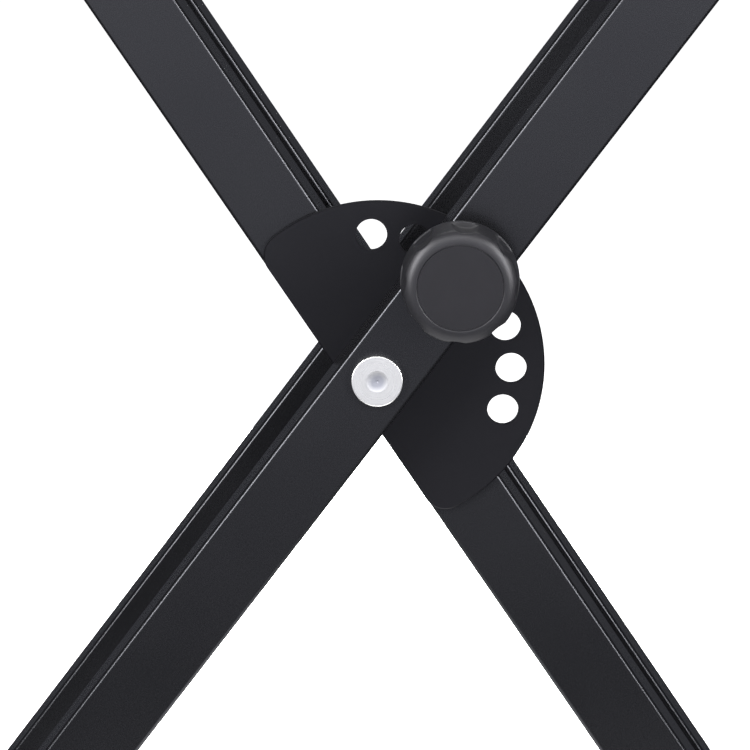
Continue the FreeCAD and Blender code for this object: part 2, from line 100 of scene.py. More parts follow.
class Value(Link):
    """A number that changes over a surface; its operators add Math nodes."""

    def __add__(self, other: Term) -> "Value":
        """Sum."""
        return self.shader.math("ADD", self, other)

    def __radd__(self, other: Term) -> "Value":
        """Sum, from the right."""
        return self.shader.math("ADD", other, self)

    def __sub__(self, other: Term) -> "Value":
        """Difference."""
        return self.shader.math("SUBTRACT", self, other)

    def __rsub__(self, other: Term) -> "Value":
        """Difference, from the right."""
        return self.shader.math("SUBTRACT", other, self)

    def __mul__(self, other: Term) -> "Value":
        """Product."""
        return self.shader.math("MULTIPLY", self, other)

    def __rmul__(self, other: Term) -> "Value":
        """Product, from the right."""
        return self.shader.math("MULTIPLY", other, self)

    def __pow__(self, other: Term) -> "Value":
        """Power."""
        return self.shader.math("POWER", self, other)


class Shader:
    """Builds one material's nodes around a Principled shader."""

    def __init__(self, name: str) -> None:
        """Starts a material of that name."""
        self.material = bpy.data.materials.new(name)
        self.material.use_nodes = True
        self.tree = self.material.node_tree
        self.surface = self.tree.nodes["Principled BSDF"]

    def feed(self, socket: bpy.types.NodeSocket, value: object) -> None:
        """Links a wrapped socket to an input, or sets the input's own value."""
        if isinstance(value, Link):
            self.tree.links.new(value.socket, socket)
        else:
            socket.default_value = value

    def node(
        self,
        kind: str,
        settings: Optional[Dict[str, object]] = None,
        sockets: Optional[Dict[Union[str, int], object]] = None,
    ) -> bpy.types.Node:
        """Adds any node.

        Args:
            kind: The node's type.
            settings: Its properties, which are set first.
            sockets: Values or links of its inputs, by name or number.

        Returns:
            The new node.
        """
        made = self.tree.nodes.new(kind)
        for key, setting in (settings or {}).items():
            setattr(made, key, setting)
        for key, value in (sockets or {}).items():
            self.feed(made.inputs[key], value)
        return made

    def math(self, operation: str, *terms: Term) -> Value:
        """Adds a Math node.

        Args:
            operation: The node's operation.
            terms: Its numbers or values.

        Returns:
            The result.
        """
        made = self.node("ShaderNodeMath", {"operation": operation}, dict(enumerate(terms)))
        return Value(self, made.outputs[0])

    def place(self) -> Link:
        """Object coordinates, which are the stand's own metres."""
        return Link(self, self.node("ShaderNodeTexCoord").outputs["Object"])

    def grain(self, size: float, detail: float = 2.0, harsh: float = 0.5) -> Value:
        """Soft random mottling.

        Args:
            size: The width of one blotch, in metres.
            detail: Octaves of finer mottling inside it.
            harsh: How strong those octaves are.

        Returns:
            A value from 0 to 1.
        """
        sockets = {"Vector": self.place(), "Scale": 1 / size, "Detail": detail, "Roughness": harsh}
        return Value(self, self.node("ShaderNodeTexNoise", None, sockets).outputs[0])

    def cells(self, size: float) -> Value:
        """Distance to the nearest of a scatter of points, in cells of that size in metres."""
        sockets = {"Vector": self.place(), "Scale": 1 / size}
        return Value(self, self.node("ShaderNodeTexVoronoi", None, sockets).outputs["Distance"])

    def span(self, value: Value, low: float, high: float, start: float = 0.0, end: float = 1.0) -> Value:
        """Maps a range of a value to another, clamped.

        Args:
            value: The value to map.
            low: The low end of its range.
            high: The high end of its range.
            start: What the low end becomes.
            end: What the high end becomes.

        Returns:
            The mapped value.
        """
        sockets = {"Value": value, "From Min": low, "From Max": high, "To Min": start, "To Max": end}
        return Value(self, self.node("ShaderNodeMapRange", {"clamp": True}, sockets).outputs[0])

    def blend(self, share: Value, first: Union[Link, Colour], second: Union[Link, Colour]) -> Link:
        """Mixes two colours by a share from 0, the first, to 1, the second."""
        pair = [c if isinstance(c, Link) else (*c, 1.0) for c in (first, second)]
        settings = {"data_type": "RGBA", "clamp_factor": True}
        made = self.node("ShaderNodeMix", settings, {0: share, 6: pair[0], 7: pair[1]})
        return Link(self, made.outputs[2])

    def radius(self, x: float, z: float) -> Value:
        """Distance from an axis along Y through that place."""
        split = self.node("ShaderNodeSeparateXYZ", None, {0: self.place()})
        across = Value(self, split.outputs[0]) - x
        up = Value(self, split.outputs[2]) - z
        return (across * across + up * up) ** 0.5

    def rings(self, radius: Value, width: float) -> Value:
        """Uneven concentric marks of about that width, as a lathe tool leaves."""
        sockets = {"W": radius, "Scale": 1 / width, "Detail": 2.0}
        made = self.node("ShaderNodeTexNoise", {"noise_dimensions": "1D"}, sockets)
        return Value(self, made.outputs[0])

    def bump(self, height: Value, depth: float) -> Link:
        """A normal tilted by a height from 0 to 1 that is so many metres deep."""
        made = self.node("ShaderNodeBump", None, {"Strength": 1.0, "Distance": depth, "Height": height})
        return Link(self, made.outputs[0])

    def finish(self, **sockets: object) -> bpy.types.Material:
        """Feeds the shader's sockets, whose names have _ for spaces.

        Args:
            sockets: Values or links.

        Returns:
            The finished material.
        """
        for key, value in sockets.items():
            value = (*value, 1.0) if isinstance(value, tuple) and len(value) == 3 else value
            self.feed(self.surface.inputs[key.replace("_", " ")], value)
        return self.material


@dataclass(frozen=True)
class Paint:
    """Powder coat on steel: even, satin, with a fine orange peel."""

    name: str
    dark: Colour
    light: Colour
    gloss: float
    roughness: float
    sheen: Colour = (0.91, 0.92, 1.0)
    cloud: float = 60 * MM
    cloud_roughness: float = 0.06
    speck: float = 0.35 * MM
    speck_share: float = 0.3
    speck_roughness: float = 0.08
    speck_relief: float = 0.25
    peel: float = 1.3 * MM
    depth: float = 0.012 * MM

    def material(self) -> bpy.types.Material:
        """The finish as a material."""
        shader = Shader(self.name)
        cloud = shader.grain(self.cloud, detail=3.0)
        speck = shader.grain(self.speck, detail=1.0)
        peel = shader.grain(self.peel)
        tone = shader.span(cloud * (1 - self.speck_share) + speck * self.speck_share, *NOISE_RANGE)
        clouded = self.cloud_roughness * (cloud - NOISE_MEAN)
        specked = self.speck_roughness * (speck - NOISE_MEAN)
        return shader.finish(
            Base_Color=shader.blend(tone, self.dark, self.light),
            Roughness=self.roughness + clouded + specked,
            Normal=shader.bump(peel + speck * self.speck_relief, self.depth),
            Specular_IOR_Level=self.gloss,
            Specular_Tint=self.sheen,
        )


@dataclass(frozen=True)
class Moulding:
    """Injection-moulded plastic with a spark-eroded grain."""

    name: str
    dark: Colour
    light: Colour
    roughness: float
    gloss: float = 0.4
    sheen: Colour = (0.97, 0.96, 1.0)
    grain: float = 0.55 * MM
    grain_roughness: float = 0.18
    cloud: float = 9 * MM
    cloud_share: float = 0.4
    depth: float = 0.01 * MM

    def material(self) -> bpy.types.Material:
        """The finish as a material."""
        shader = Shader(self.name)
        grain = shader.grain(self.grain, detail=3.0, harsh=0.6)
        cloud = shader.grain(self.cloud)
        tone = shader.span(grain * (1 - self.cloud_share) + cloud * self.cloud_share, *NOISE_RANGE)
        return shader.finish(
            Base_Color=shader.blend(tone, self.dark, self.light),
            Roughness=self.roughness + self.grain_roughness * (grain - NOISE_MEAN),
            Normal=shader.bump(grain, self.depth),
            Specular_IOR_Level=self.gloss,
            Specular_Tint=self.sheen,
        )


@dataclass(frozen=True)
class Rubber:
    """Moulded rubber: matt, dusty in its pores."""

    name: str
    dark: Colour
    light: Colour
    gloss: float = 0.3
    roughness: float = 0.78
    pores: float = 0.7 * MM
    depth: float = 0.03 * MM
    dust: float = 14 * MM
    dust_range: Tuple[float, float] = (0.35, 0.75)
    dust_roughness: float = 0.12

    def material(self) -> bpy.types.Material:
        """The finish as a material."""
        shader = Shader(self.name)
        pores = shader.cells(self.pores)
        dust = shader.grain(self.dust, detail=4.0, harsh=0.6)
        tone = shader.span(dust, *self.dust_range)
        return shader.finish(
            Base_Color=shader.blend(tone, self.dark, self.light),
            Roughness=self.roughness + self.dust_roughness * (dust - NOISE_MEAN),
            Normal=shader.bump(pores, self.depth),
            Specular_IOR_Level=self.gloss,
        )


@dataclass(frozen=True)
class TurnedMetal:
    """Bright metal with the rings of the lathe tool round an axis along Y; the dish at its centre is rougher,
    and its colour is painted darker as shade.
    """

    name: str
    dark: Colour
    light: Colour
    roughness: float
    x: float
    z: float
    # painted shade: the centre colour darkens the head's dish to stand in for its shading
    centre: Colour = (0.32, 0.325, 0.36)
    shaded_dish_radius: float = 4.1 * MM
    centre_roughness: float = 0.4
    shaded_dish_fade: Tuple[float, float] = (0.5, 1.2)
    shaded_dish_waver: float = 2 * MM
    ring: float = 0.28 * MM
    ring_roughness: float = 0.15
    stain: float = 4 * MM
    stain_share: float = 0.4
    depth: float = 0.012 * MM

    def material(self) -> bpy.types.Material:
        """The finish as a material."""
        shader = Shader(self.name)
        radius = shader.radius(self.x, self.z)
        rings = shader.rings(radius, self.ring)
        stain = shader.grain(self.stain, detail=3.0)
        tone = shader.span(rings * (1 - self.stain_share) + stain * self.stain_share, *NOISE_RANGE)
        # inside this radius the dish's painted shade and its coarser finish fade in together
        waver = (stain - NOISE_MEAN) * self.shaded_dish_waver
        outside_shaded_dish = shader.span(radius + waver, *(share * self.shaded_dish_radius for share in self.shaded_dish_fade))
        coarser = (1 - outside_shaded_dish) * (self.centre_roughness - self.roughness)
        return shader.finish(
            Base_Color=shader.blend(outside_shaded_dish, self.centre, shader.blend(tone, self.dark, self.light)),
            Roughness=self.roughness + coarser + self.ring_roughness * (rings - NOISE_MEAN),
            Normal=shader.bump(rings, self.depth),
            Metallic=1.0,
        )


@dataclass(frozen=True)
class Plating:
    """Zinc-plated or brass hardware, faintly clouded."""

    name: str
    dark: Colour
    light: Colour
    roughness: float
    cloud: float = 3 * MM
    cloud_roughness: float = 0.2
    pits: float = 0.25 * MM
    depth: float = 0.006 * MM

    def material(self) -> bpy.types.Material:
        """The finish as a material."""
        shader = Shader(self.name)
        cloud = shader.grain(self.cloud, detail=4.0, harsh=0.6)
        pits = shader.grain(self.pits)
        tone = shader.span(cloud, *NOISE_RANGE)
        return shader.finish(
            Base_Color=shader.blend(tone, self.dark, self.light),
            Roughness=self.roughness + self.cloud_roughness * (cloud - NOISE_MEAN),
            Normal=shader.bump(pits, self.depth),
            Metallic=1.0,
        )


@dataclass(frozen=True)
class PaleFloor:
    """The studio's plain pale floor, which glows with painted light, dimmer near the stand and brighter
    further out, so that it fades to white.
    """

    name: str = "pale_floor"
    colour: Colour = (0.8, 0.8, 0.8)
    near: float = 0.45
    far: float = 1.6
    near_glow: Colour = (0.55, 0.55, 0.55)
    far_glow: Colour = (1.0, 1.0, 1.0)
    roughness: float = 0.9

    def material(self) -> bpy.types.Material:
        """The finish as a material."""
        shader = Shader(self.name)
        split = shader.node("ShaderNodeSeparateXYZ", None, {0: shader.place()})
        across = Value(shader, split.outputs[0])
        along = Value(shader, split.outputs[1])
        # painted light: the floor's own glow, dimmer round the stand than further out
        share = shader.span((across * across + along * along) ** 0.5, self.near, self.far)
        return shader.finish(
            Base_Color=self.colour,
            Roughness=self.roughness,
            Emission_Color=shader.blend(share, self.near_glow, self.far_glow),
            Emission_Strength=1.0,
        )


@dataclass(frozen=True)
class Axis:
    """A round piece along Y, measured on the frame."""

    x: float
    z: float
    radius: float
    front: float
    back: float

    @classmethod
    def of(cls, node: str) -> "Axis":
        """The axis, radius and ends of a round CAD node."""
        low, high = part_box(node)
        return cls((low.x + high.x) / 2, (low.z + high.z) / 2, (high.x - low.x) / 2, low.y, high.y)

    def length(self) -> float:
        """From the front end to the back end, in millimetres."""
        return (self.back - self.front) / MM

    def about_turn(self) -> Matrix:
        """Half a turn about the upright through the middle, which swaps the two ends."""
        middle = Matrix.Translation((self.x, (self.front + self.back) / 2, 0.0))
        return middle @ Matrix.Rotation(math.pi, 4, "Z") @ middle.inverted()

    def lean_to(self, other: "Axis") -> float:
        """How far the way to another axis leans from the upright."""
        return math.atan2(other.x - self.x, other.z - self.z)


class Palette:
    """Every finish of the stand, made once."""

    def __init__(self, pivot: Axis) -> None:
        """Makes the materials; the turned finish is centred on the pivot."""
        finishes = {
            Slot.LEG_PAINT: Paint(
                "leg_powder_coat", (0.0023, 0.0023, 0.0026), (0.0033, 0.0033, 0.0037), 0.33, 0.27
            ),
            Slot.PLATE_PAINT: Paint(
                "plate_powder_coat", (0.0022, 0.0021, 0.0027), (0.0032, 0.0031, 0.0038), 0.145, 0.4
            ),
            Slot.TURNED_STEEL: TurnedMetal(
                "turned_steel", (0.66, 0.655, 0.64), (0.75, 0.745, 0.73), 0.3, pivot.x, pivot.z
            ),
            Slot.ZINC_STEEL: Plating("zinc_plate", (0.50, 0.50, 0.51), (0.66, 0.66, 0.66), 0.34),
            Slot.BEARING_BRASS: Plating("bearing_brass", (0.55, 0.38, 0.16), (0.70, 0.50, 0.22), 0.3),
            Slot.NYLON: Moulding("nylon", (0.118, 0.115, 0.106), (0.15, 0.147, 0.138), 0.5),
            Slot.KNOB_PLASTIC: Moulding(
                "knob_plastic", (0.0079, 0.0078, 0.0088), (0.0106, 0.0105, 0.0118), 0.36, 0.21
            ),
            Slot.CAP_PLASTIC: Moulding(
                "cap_plastic", (0.006, 0.006, 0.0064), (0.009, 0.009, 0.0095), 0.45, 0.3
            ),
            Slot.GRIP_RUBBER: Rubber("grip_rubber", (0.006, 0.006, 0.006), (0.0105, 0.0105, 0.0105)),
            Slot.FOOT_RUBBER: Rubber("foot_rubber", (0.0066, 0.0066, 0.0066), (0.0125, 0.0122, 0.0118)),
        }
        bars = Paint("bar_powder_coat", (0.0029, 0.0029, 0.0032), (0.0042, 0.0042, 0.0046), 0.16, 0.42)
        disc = Moulding("knob_disc", (0.0036, 0.0035, 0.0043), (0.005, 0.0048, 0.006), 0.5, 0.195)
        self.materials = {slot: finish.material() for slot, finish in finishes.items()}
        tubes = [f"{pair}_{part}_bar" for pair in ("outer", "inner") for part in ("support", "foot")]
        self.special = {"knob_cap": disc.material(), **dict.fromkeys(tubes, bars.material())}

    def dress(self, piece: bpy.types.Object, slot: Slot) -> None:
        """Gives a piece one finish all over."""
        piece.data.materials.clear()
        piece.data.materials.append(self.materials[slot])

    def dress_nodes(self) -> None:
        """Gives every CAD node a finish of its own, or else the one that its slot names."""
        for name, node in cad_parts.items():
            for holder in node.material_slots:
                slot = Slot(holder.material.name.split(".")[0])
                holder.material = self.special.get(name, self.materials[slot])


@dataclass(frozen=True)
class Station:
    """One ring of a turned shape: its radius, its place along Y and how far its centre is lifted."""

    radius: float
    along: float
    lift: float = 0.0


def rounded(corners: Sequence[Corner], steps: int = 4) -> List[Tuple[float, float]]:
    """Rounds the corners of a turned shape's outline.

    Args:
        corners: Points of radius, place and rounding, in millimetres; the two ends stay sharp.
        steps: Facets in each rounding.

    Returns:
        Points of radius and place, in millimetres.
    """
    line: List[Tuple[float, float]] = []
    for index, (radius, along, bend) in enumerate(corners):
        here = Vector((radius, along))
        if bend == 0.0 or index in (0, len(corners) - 1):
            line.append((radius, along))
            continue
        before = (Vector(corners[index - 1][:2]) - here).normalized()
        after = (Vector(corners[index + 1][:2]) - here).normalized()
        half = before.angle(after) / 2
        centre = here + (before + after).normalized() * bend / math.sin(half)
        reach = bend / math.tan(half)
        first = here + before * reach - centre
        last = here + after * reach - centre
        for step in range(steps + 1):
            line.append(tuple(centre + first.lerp(last, step / steps).normalized() * bend))
    return line


class Bench:
    """Workshop steps that the pieces share, all done with operators."""

    @staticmethod
    def start() -> None:
        """Leaves nothing selected, so that the next step touches new work only."""
        bpy.ops.object.select_all(action="DESELECT")

    @staticmethod
    def hold(piece: bpy.types.Object) -> None:
        """Selects one piece alone."""
        Bench.start()
        piece.select_set(True)
        bpy.context.view_layer.objects.active = piece

    @staticmethod
    def turn(name: str, axis: Axis, outline: Sequence[Station], segments: int = 96) -> bpy.types.Object:
        """Draws a ring out along an outline, as a lathe would cut it.

        Args:
            name: The piece's name.
            axis: The axis along Y that it turns about.
            outline: Its rings in order, in metres; open ends are filled and equal ends joined.
            segments: Facets round the axis.

        Returns:
            The piece.
        """
        first = outline[0]
        Bench.start()
        bpy.ops.mesh.primitive_circle_add(
            vertices=segments,
            radius=first.radius,
            location=(axis.x, first.along, axis.z + first.lift),
            rotation=(math.pi / 2, 0.0, 0.0),
        )
        piece = bpy.context.object
        piece.name = name
        bpy.ops.object.transform_apply(location=True, rotation=True, scale=True)
        bpy.ops.object.mode_set(mode="EDIT")
        bpy.ops.mesh.select_all(action="SELECT")
        for here, there in zip(outline, outline[1:]):
            shift = (0.0, there.along - here.along, there.lift - here.lift)
            bpy.ops.mesh.extrude_edges_move(TRANSFORM_OT_translate={"value": shift})
            grow = there.radius / here.radius
            centre = (axis.x, there.along, axis.z + there.lift)
            bpy.ops.transform.resize(value=(grow, 1.0, grow), center_override=centre)
        bpy.ops.object.mode_set(mode="OBJECT")
        Bench.close(piece)
        return piece

    @staticmethod
    def close(piece: bpy.types.Object) -> None:
        """Merges doubled points, fills open ends and turns the faces outwards."""
        Bench.hold(piece)
        bpy.ops.object.mode_set(mode="EDIT")
        bpy.ops.mesh.select_all(action="SELECT")
        bpy.ops.mesh.remove_doubles(threshold=MERGE)
        bpy.ops.mesh.select_all(action="SELECT")
        bpy.ops.mesh.fill_holes(sides=0)
        bpy.ops.mesh.select_all(action="SELECT")
        bpy.ops.mesh.normals_make_consistent(inside=False)
        bpy.ops.object.mode_set(mode="OBJECT")

    @staticmethod
    def pick(piece: bpy.types.Object, wanted: Callable[[Vector], bool]) -> None:
        """Opens a piece in edit mode with the wanted points selected.

        Args:
            piece: The piece.
            wanted: Says by its place whether a point is wanted.
        """
        Bench.hold(piece)
        bpy.ops.object.mode_set(mode="EDIT")
        bpy.ops.mesh.select_mode(type="VERT")
        bpy.ops.mesh.select_all(action="DESELECT")
        bpy.ops.object.mode_set(mode="OBJECT")
        for point in piece.data.vertices:
            point.select = wanted(point.co)
        bpy.ops.object.mode_set(mode="EDIT")

    @staticmethod
    def modify(piece: bpy.types.Object, kind: str, **settings: object) -> None:
        """Adds a modifier of a kind with its settings and applies it."""
        Bench.hold(piece)
        made = piece.modifiers.new(kind.lower(), kind)
        for key, setting in settings.items():
            setattr(made, key, setting)
        bpy.ops.object.modifier_apply(modifier=made.name)

    @staticmethod
    def combine(piece: bpy.types.Object, tool: bpy.types.Object, operation: str) -> None:
        """Cuts, joins or trims a piece with a tool, and puts the tool away."""
        Bench.modify(piece, "BOOLEAN", object=tool, operation=operation, solver="EXACT")
        bpy.data.objects.remove(tool)

    @staticmethod
    def smooth(piece: bpy.types.Object, degrees: float = 35.0) -> None:
        """Shades a piece smooth over edges blunter than an angle."""
        Bench.hold(piece)
        bpy.ops.object.shade_smooth_by_angle(angle=math.radians(degrees))

    @staticmethod
    def copy(piece: bpy.types.Object, name: str, move: Matrix) -> bpy.types.Object:
        """Makes a copy with a mesh of its own in another place.

        Args:
            piece: The piece to copy.
            name: The copy's name.
            move: Where the copy goes.

        Returns:
            The copy.
        """
        Bench.hold(piece)
        bpy.ops.object.duplicate()
        made = bpy.context.object
        made.name = name
        made.matrix_world = move
        bpy.ops.object.transform_apply(location=True, rotation=True, scale=True)
        return made


def install(piece: bpy.types.Object, body: Body, slot: Slot, palette: Palette, *nodes: str) -> None:
    """Dresses a piece, fixes it to its body and hides the CAD nodes that it stands for.

    Args:
        piece: The finished piece.
        body: The body that it moves with.
        slot: Its finish.
        palette: The stand's finishes.
        nodes: The CAD nodes that it stands for, if any.
    """
    palette.dress(piece, slot)
    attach(piece, body.value)
    if nodes:
        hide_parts(*nodes)
    log.info("%s: %d faces on %s", piece.name, len(piece.data.polygons), body.value)


@dataclass
class Knob:
    """The fluted grip of the pull pin, in millimetres from its front face."""

    node: str = "knob_grip"
    face_radius: float = 21.65
    crown: float = 7.5
    crown_turn: float = 40.0
    shoulder: float = 2.0
    recess_depth: float = 2.0
    recess_round: float = 0.6
    recess_rings: int = 8
    base: float = 3.5
    back_round: float = 1.2
    back_rings: int = 7
    cavity_radius: float = 13.07
    cavity_depth: float = 6.2
    cavity_rim: float = 0.4
    cavity_corner: float = 0.3
    insert_radius: float = 5.07
    insert_depth: float = 15.4
    flutes: int = 8
    flute_radius: float = 12.0
    flute_depth: float = 1.0
    flute_start: float = 42.0
    flute_lip: float = 0.08
    flute_ramp: float = 3.0
    flute_step: float = 0.2
    step_slope: float = 0.12
    segments: int = 320
    arc_rings: int = 9
    wall_rings: int = 8
    end_rings: int = 8
    step_rings: int = 2

    def crown_line(self) -> List[Tuple[float, float]]:
        """The front's gentle crown and the tighter shoulder that turns it into the side."""
        bend = math.radians(self.crown_turn)
        rim = self.face_radius - self.shoulder - (self.crown - self.shoulder) * math.sin(bend)
        inner = rim + (self.crown - self.shoulder) * math.sin(bend)
        depth = self.crown - (self.crown - self.shoulder) * math.cos(bend)
        line = []
        for ring in range(self.arc_rings + 1):
            angle = bend * ring / self.arc_rings
            line.append((rim + self.crown * math.sin(angle), self.crown * (1.0 - math.cos(angle))))
        for ring in range(1, self.arc_rings + 1):
            angle = bend + (math.pi / 2 - bend) * ring / self.arc_rings
            line.append((inner + self.shoulder * math.sin(angle), depth - self.shoulder * math.cos(angle)))
        return line

    def outline(self, axis: Axis) -> List[Station]:
        """The turned form before its flutes are pressed in.

        Args:
            axis: The grip's axis and ends.

        Returns:
            Its rings.
        """
        radius = axis.radius / MM
        length = axis.length()
        foot = length - self.base
        crown = self.crown_line()
        rim, (wall, start) = crown[0][0], crown[-1]
        corners: List[Corner] = [(rim, self.recess_depth, 0.0)]
        for ring in range(self.recess_rings):
            angle = math.pi / 2 * (1.0 - ring / self.recess_rings)
            lip = self.recess_round
            corners.append((rim + lip * (1.0 - math.sin(angle)), lip * (1.0 - math.cos(angle)), 0.0))
        corners += [(r, y, 0.0) for r, y in crown if r > rim + self.recess_round]
        rise = (radius - wall) / (foot - start)
        stops = (start, foot - self.flute_ramp, foot - self.step_slope, foot)
        places = []
        for near, far, rings in zip(stops, stops[1:], (self.wall_rings, self.end_rings, self.step_rings)):
            places += [near + (far - near) * ring / rings for ring in range(1, rings + 1)]
        corners += [(wall + rise * (place - start), place, 0.0) for place in places]
        corners += [
            (radius, length, self.back_round),
            (self.cavity_radius, length, self.cavity_rim),
            (self.cavity_radius, length - self.cavity_depth, self.cavity_corner),
            (self.insert_radius, length - self.cavity_depth, 0.0),
            (self.insert_radius, length - self.insert_depth, 0.0),
        ]
        return [Station(r * MM, axis.front + y * MM) for r, y in rounded(corners, self.back_rings)]

    def share(self, left: float) -> float:
        """How much of a flute's depth is left so far before its end: a ramp, then a small step."""
        ramp = min(1.0, max(0.0, (left - self.step_slope) / self.flute_ramp))
        step = min(1.0, left / self.step_slope) * self.flute_step
        return step + (1.0 - self.flute_step) * ramp * ramp * (3.0 - 2.0 * ramp)

    def press_flutes(self, piece: bpy.types.Object, axis: Axis) -> None:
        """Draws the wall in where the finger flutes are, with soft lips."""
        reach = self.face_radius + self.flute_radius - self.flute_depth
        foot = axis.length() - self.base
        step = 2 * math.pi / self.flutes
        for point in piece.data.vertices:
            x, z = (point.co.x - axis.x) / MM, (point.co.z - axis.z) / MM
            along = (point.co.y - axis.front) / MM
            radius = math.hypot(x, z)
            if radius < self.face_radius - 2 * self.shoulder or along > foot:
                continue
            away = (math.atan2(z, x) - math.radians(self.flute_start) + step / 2) % step - step / 2
            side = reach * math.sin(away)
            if abs(side) > self.flute_radius:
                continue
            floor = reach * math.cos(away) - math.sqrt(self.flute_radius**2 - side**2)
            gap = (radius - floor) / self.flute_lip
            cut = self.flute_lip * (max(gap, 0.0) + math.log1p(math.exp(-abs(gap))))
            cut *= self.share(foot - along)
            point.co.x = axis.x + x * (1.0 - cut / radius) * MM
            point.co.z = axis.z + z * (1.0 - cut / radius) * MM

    def build(self, palette: Palette) -> None:
        """Turns the grip, presses its flutes in and fits it."""
        axis = Axis.of(self.node)
        piece = Bench.turn("fluted_grip", axis, self.outline(axis), self.segments)
        self.press_flutes(piece, axis)
        Bench.smooth(piece)
        install(piece, Body.KNOB, Slot.KNOB_PLASTIC, palette, self.node)


@dataclass
class Sleeve:
    """A rubber sleeve on a support bar: a plain land, then soft-lipped grooves; sizes in millimetres."""

    node: str
    body: Body
    wall: float = 3.0
    land: float = 40.0
    pitch: float = 12.0
    groove: float = 2.5
    depth: float = 1.0
    lip: float = 0.4
    edge: float = 1.3
    bore_edge: float = 0.3

    def build(self, palette: Palette) -> None:
        """Turns the sleeve from its free end inwards and fits it."""
        axis = Axis.of(self.node)
        outer = axis.radius / MM
        bore = outer - self.wall
        floor = outer - self.depth
        length = axis.length()
        seam = (bore, length / 2, 0.0)
        corners: List[Corner] = [seam, (bore, 0.0, self.bore_edge), (outer, 0.0, self.edge)]
        for count in range(int((length - self.land) / self.pitch)):
            near = self.land + count * self.pitch
            far = near + self.groove
            corners += [
                (outer, near, self.lip),
                (floor, near, self.lip),
                (floor, far, self.lip),
                (outer, far, self.lip),
            ]
        corners += [(outer, length, self.edge), (bore, length, self.bore_edge), seam]
        at_front = axis.front + axis.back < 0.0
        free, way = (axis.front, MM) if at_front else (axis.back, -MM)
        outline = [Station(r * MM, free + y * way) for r, y in rounded(corners)]
        piece = Bench.turn(self.node.replace("sleeve", "grip"), axis, outline)
        Bench.smooth(piece)
        install(piece, self.body, Slot.GRIP_RUBBER, palette, self.node)


@dataclass
class BarPlug:
    """The moulded plugs in a support bar's ends; sizes in millimetres from the bar's end."""

    bar: str
    node: str
    body: Body
    stem_radius: float = 14.4
    stem: float = 18.0
    stem_chamfer: float = 1.5
    flange: float = 4.0
    flange_seat: float = 0.3
    rounding: float = 2.0
    dish_radius: float = 12.5
    dish_depth: float = 0.8
    dish_lip: float = 0.4
    dish_corner: float = 0.5
    boss_radius: float = 4.0
    boss_drop: float = 0.2
    boss_lip: float = 0.3
    tip_radius: float = 0.5
    segments: int = 64

    def build(self, palette: Palette) -> None:
        """Turns one plug, turns a copy round to the other end and joins the two."""
        bar = Axis.of(self.bar)
        rim = Axis.of(self.node).radius / MM
        face = self.flange - self.dish_depth
        corners: List[Corner] = [
            (self.stem_radius - self.stem_chamfer, -self.stem, 0.0),
            (self.stem_radius, self.stem_chamfer - self.stem, 0.0),
            (self.stem_radius, 0.0, 0.0),
            (rim, 0.0, self.flange_seat),
            (rim, self.flange, self.rounding),
            (self.dish_radius, self.flange, self.dish_lip),
            (self.dish_radius - self.dish_depth, face, self.dish_corner),
            (self.boss_radius + self.dish_depth, face, self.dish_corner),
            (self.boss_radius, self.flange - self.boss_drop, self.boss_lip),
            (self.tip_radius, self.flange - self.boss_drop, 0.0),
        ]
        outline = [Station(r * MM, bar.front - y * MM) for r, y in rounded(corners)]
        piece = Bench.turn(self.node.replace("caps", "plugs"), bar, outline, self.segments)
        other = Bench.copy(piece, "far_plug", bar.about_turn())
        Bench.hold(piece)
        other.select_set(True)
        bpy.ops.object.join()
        Bench.smooth(piece)
        install(piece, self.body, Slot.CAP_PLASTIC, palette, self.node)


